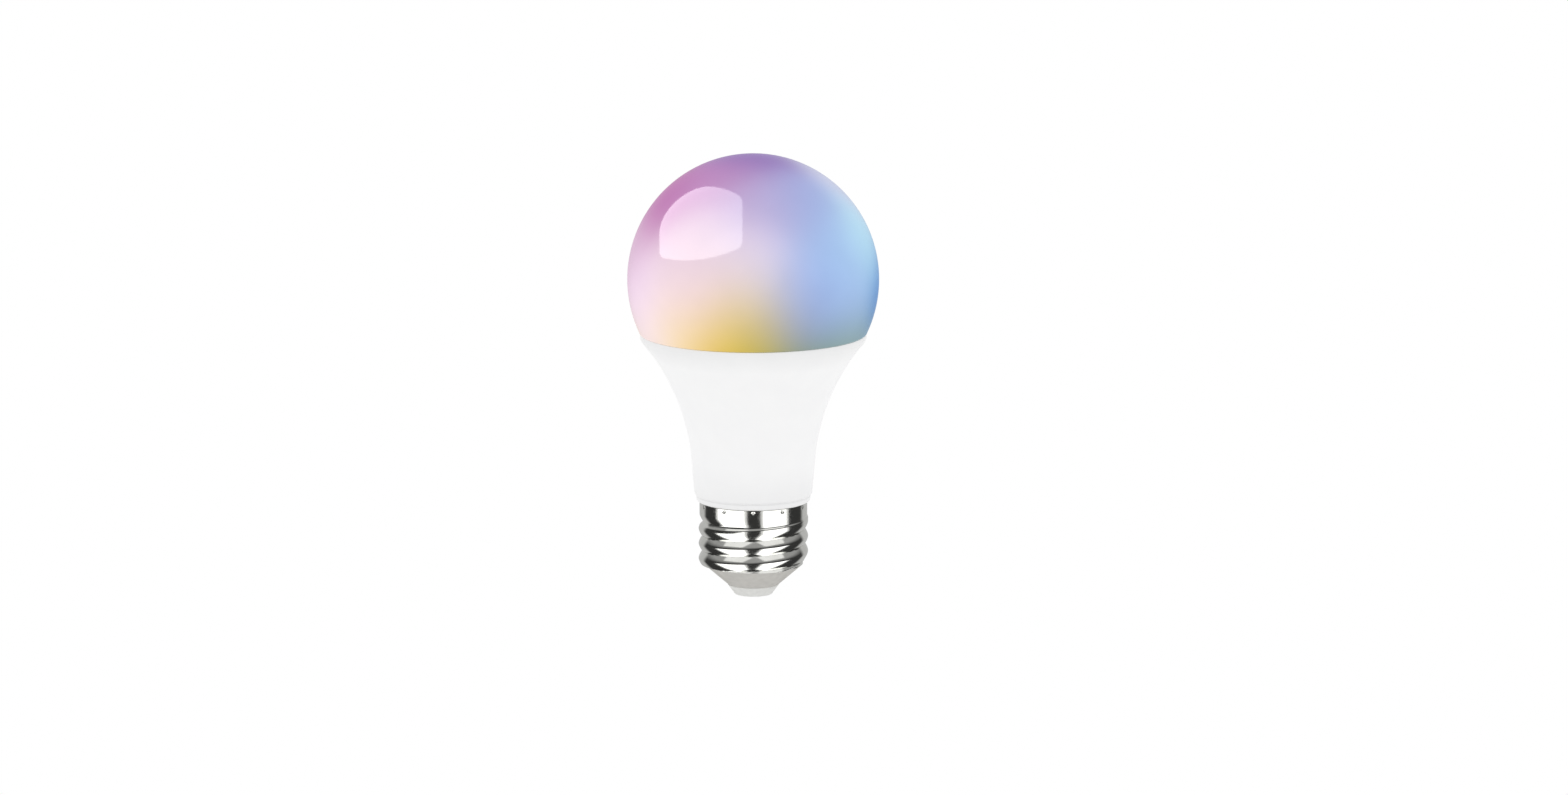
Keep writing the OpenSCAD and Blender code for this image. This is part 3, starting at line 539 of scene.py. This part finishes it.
def aim(thing, place, target):
    """Puts a light or camera at place, looking at target, both in millimetres."""
    thing.location = Vector(place) * MM
    thing.rotation_euler = (Vector(target) - Vector(place)).to_track_quat("-Z", "Y").to_euler()
    bpy.context.scene.collection.objects.link(thing)


def around(azimuth, elevation, distance, centre):
    """A point seen from centre at an azimuth from the camera's side, to the right, and an elevation."""
    a, e = math.radians(azimuth), math.radians(elevation)
    return (
        centre[0] + distance * math.sin(a) * math.cos(e),
        centre[1] - distance * math.cos(a) * math.cos(e),
        centre[2] + distance * math.sin(e),
    )


def add_camera():
    data = bpy.data.cameras.new("camera")
    data.lens, data.sensor_width = VIEW_LENS, SENSOR
    data.clip_end = VIEW_CLIP_END * MM
    camera = bpy.data.objects.new("camera", data)
    aim(camera, around(0, VIEW_ELEVATION, VIEW_DISTANCE, VIEW_TARGET), VIEW_TARGET)
    bpy.context.scene.camera = camera


def add_world():
    world = bpy.data.worlds.new("studio")
    world.use_nodes = True
    world.node_tree.nodes["Background"].inputs["Color"].default_value = (1, 1, 1, 1)
    bpy.context.scene.world = world
    bpy.context.scene.view_settings.view_transform = "Standard"


def plain_emitter(name, level):
    material = bpy.data.materials.new(name)
    material.use_nodes = True
    bsdf = material.node_tree.nodes["Principled BSDF"]
    bsdf.inputs["Base Color"].default_value = (0, 0, 0, 1)
    bsdf.inputs["Specular IOR Level"].default_value = 0.0
    bsdf.inputs["Emission Color"].default_value = (level, level, level, 1)
    bsdf.inputs["Emission Strength"].default_value = 1.0
    return material


def clear_emitter(name, level):
    """Glows, and lets what stands behind it show through."""
    material = bpy.data.materials.new(name)
    material.use_nodes = True
    tree = material.node_tree
    tree.nodes.clear()
    glow, clear, both, out = (
        tree.nodes.new(f"ShaderNode{kind}")
        for kind in ("Emission", "BsdfTransparent", "AddShader", "OutputMaterial")
    )
    glow.inputs["Strength"].default_value = level
    tree.links.new(glow.outputs[0], both.inputs[0])
    tree.links.new(clear.outputs[0], both.inputs[1])
    tree.links.new(both.outputs[0], out.inputs["Surface"])
    return material


def stage_panel(name, corners, faces, material):
    mesh = bpy.data.meshes.new(name)
    mesh.from_pydata([Vector(c) * MM for c in corners], [], faces)
    mesh.materials.append(material)
    panel = bpy.data.objects.new(name, mesh)
    bpy.context.scene.collection.objects.link(panel)
    return panel


def add_floor():
    corners = [(x * FLOOR_HALF, y * FLOOR_HALF, FLOOR_Z) for x, y in ((-1, -1), (1, -1), (1, 1), (-1, 1))]
    floor = stage_panel("floor", corners, [(0, 1, 2, 3)], plain_emitter("floor", 1.0))
    floor.visible_glossy = False


def only_reflected(thing):
    """Shows thing in glossy reflections and nowhere else."""
    thing.visible_camera = thing.visible_diffuse = thing.visible_shadow = False
    thing.visible_transmission = thing.visible_volume_scatter = False


def seen_only_in(light, receivers):
    """Lets only the receivers mirror a light or a glowing panel."""
    group = bpy.data.collections.new(f"{light.name}_receivers")
    for piece in receivers:
        group.objects.link(piece)
    light.light_linking.receiver_collection = group


def surround(name, radius, material, receivers):
    """A glowing sphere round the whole scene that only the receivers mirror."""
    rings = arc(0, 0, radius, -90, 90, SPHERE_RINGS)
    corners, faces = lathe([(0.0, -radius)] + rings[1:-1] + [(0.0, radius)], turns=SPHERE_TURNS)
    sphere = stage_panel(name, corners, faces, material)
    only_reflected(sphere)
    seen_only_in(sphere, receivers)


def add_sky(receivers):
    """A surround for the metal: dark up to a little above the horizon, grey over it and behind the bulb."""
    s = Shader("sky")
    toward = s.vector("NORMALIZE", s.place)
    parts = s.node("ShaderNodeSeparateXYZ")
    s.feed(parts.inputs[0], toward)
    low, high = (math.sin(math.radians(SKY_LINE + side * SKY_BLEND)) for side in (-1, 1))
    level = s.span(parts.outputs["Z"], SKY_LOW, SKY_HIGH, low, high)
    start, end = (-math.cos(math.radians(turn)) for turn in (SKY_BEHIND_START, SKY_BEHIND_END))
    behind = s.span(parts.outputs["Y"], 0.0, SKY_BEHIND, start, end)
    level = s.math("MAXIMUM", level, behind)
    s.set(Base_Color=(0, 0, 0, 1), Specular_IOR_Level=0.0)
    s.set(Emission_Color=(1, 1, 1, 1), Emission_Strength=level)
    surround("sky", SKY_R, s.material, receivers)


def softbox(name, azimuth, elevation, distance, size, level, receivers, centre):
    """A panel light of size (width, height) and brightness level, reflected only in its receivers."""
    data = bpy.data.lights.new(name, "AREA")
    data.shape, data.size, data.size_y = "RECTANGLE", size[0] * MM, size[1] * MM
    data.energy = level * math.pi * data.size * data.size_y
    light = bpy.data.objects.new(name, data)
    aim(light, around(azimuth, elevation, distance, centre), centre)
    only_reflected(light)
    seen_only_in(light, receivers)


def light_base(receivers):
    """Two tall softboxes with a dark gap between, and pale panels above, for the nickel's bright bands."""
    distance, tall = SOFTBOX_DISTANCE, SOFTBOX_TOP_Z - SOFTBOX_LOW_Z
    middle, base = (0.0, 0.0, SOFTBOX_TOP_Z - tall / 2), (0.0, 0.0, BASE_MIDDLE_Z)
    for name, start, end in SOFTBOXES:
        turn, half = (start + end) / 2, (end - start) / 2
        for layer, spread, level, times in SOFTBOX_LAYERS:
            away = distance * times
            size = (2 * away * math.tan(math.radians(half + spread)), tall)
            softbox(f"softbox_{name}_{layer}", turn, 0, away, size, level, receivers, middle)
        size = (CEILING_SIZE, CEILING_SIZE)
        softbox(f"ceiling_{name}", turn, CEILING_ELEVATION, distance, size, CEILING_LEVEL, receivers, base)


def window_span(u):
    """Lower and upper edge of the arched window at u across."""
    t = (u - WINDOW_LEFT) / (WINDOW_RIGHT - WINDOW_LEFT)
    into_corner = max(0.0, 1 - min(u - WINDOW_LEFT, WINDOW_RIGHT - u) / WINDOW_CORNER)
    corner = WINDOW_CORNER * (1 - math.sqrt(max(0.0, 1 - into_corner ** 2)))
    low = WINDOW_LOW_LEFT + (WINDOW_LOW_RIGHT - WINDOW_LOW_LEFT) * t - WINDOW_SAG * t * (1 - t) + corner
    if u < WINDOW_PEAK:
        t = (WINDOW_PEAK - u) / (WINDOW_PEAK - WINDOW_LEFT)
        rise = max(0.0, 1 - t ** WINDOW_FULLNESS) ** (1 / WINDOW_FULLNESS)
        return low, max(low, WINDOW_SPRING + (WINDOW_TOP - WINDOW_SPRING) * rise)
    t = (u - WINDOW_PEAK) / (WINDOW_RIGHT - WINDOW_PEAK)
    return low, WINDOW_TOP - WINDOW_SLOPE * t * t - corner


def window_panel(receivers):
    """A bright arched window far to the upper left, laid out so that the dome mirrors it to the camera."""
    e = math.radians(VIEW_ELEVATION)
    right = Vector((1, 0, 0))
    up = Vector((0, math.sin(e), math.cos(e)))
    toward = Vector((0, -math.cos(e), math.sin(e)))
    middle = Vector((0, 0, dome_centre()))
    across, rows = WINDOW_COLUMNS, WINDOW_ROWS
    corners, faces = [], []
    for i in range(across + 1):
        u = WINDOW_LEFT + (WINDOW_RIGHT - WINDOW_LEFT) * i / across
        low, high = window_span(u)
        for j in range(rows + 1):
            v = low + (high - low) * j / rows
            normal = right * u + up * v + toward * math.sqrt(1 - u * u - v * v)
            mirrored = 2 * normal.dot(toward) * normal - toward
            corners.append(middle + normal * DOME_R + mirrored * WINDOW_DISTANCE)
    for i in range(across):
        for j in range(rows):
            k = i * (rows + 1) + j
            faces.append((k, k + rows + 1, k + rows + 2, k + 1))
    window = stage_panel("window", corners, faces, clear_emitter("window", WINDOW_LEVEL))
    only_reflected(window)
    seen_only_in(window, receivers)


# ---------------------------------------------------------------- scene

def dress_frame(frame):
    """Gives each CAD node the finish of its slot. A node whose slot has none keeps its look and is printed."""
    finishes = inner_materials()
    for node, piece in frame["nodes"].items():
        for place in piece.material_slots:
            slot_name = place.material.name.split(".")[0] if place.material else ""
            if slot_name in finishes:
                place.material = finishes[slot_name]
            elif slot_name:
                print("no finish for", node, slot_name)


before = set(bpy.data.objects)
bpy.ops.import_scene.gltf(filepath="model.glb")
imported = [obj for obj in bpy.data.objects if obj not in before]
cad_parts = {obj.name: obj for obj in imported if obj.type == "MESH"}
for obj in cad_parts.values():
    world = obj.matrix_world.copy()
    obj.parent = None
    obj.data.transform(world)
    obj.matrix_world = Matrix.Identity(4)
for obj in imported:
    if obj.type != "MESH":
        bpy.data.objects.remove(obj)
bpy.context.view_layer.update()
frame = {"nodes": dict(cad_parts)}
add_camera()
dress_frame(frame)
dome = dome_piece(milky_dome())
housing = housing_piece(white_housing())
shell = screw_piece(nickel())
insulator_piece(base_plastic())
contact = contact_piece(contact_plate())
add_world()
add_floor()
add_sky([shell, contact])
surround("dome_haze", DOME_HAZE_R, clear_emitter("dome_haze", DOME_HAZE), [dome])
surround("housing_haze", HOUSING_HAZE_R, clear_emitter("housing_haze", HOUSING_HAZE), [housing])
light_base([shell])
window_panel([dome])
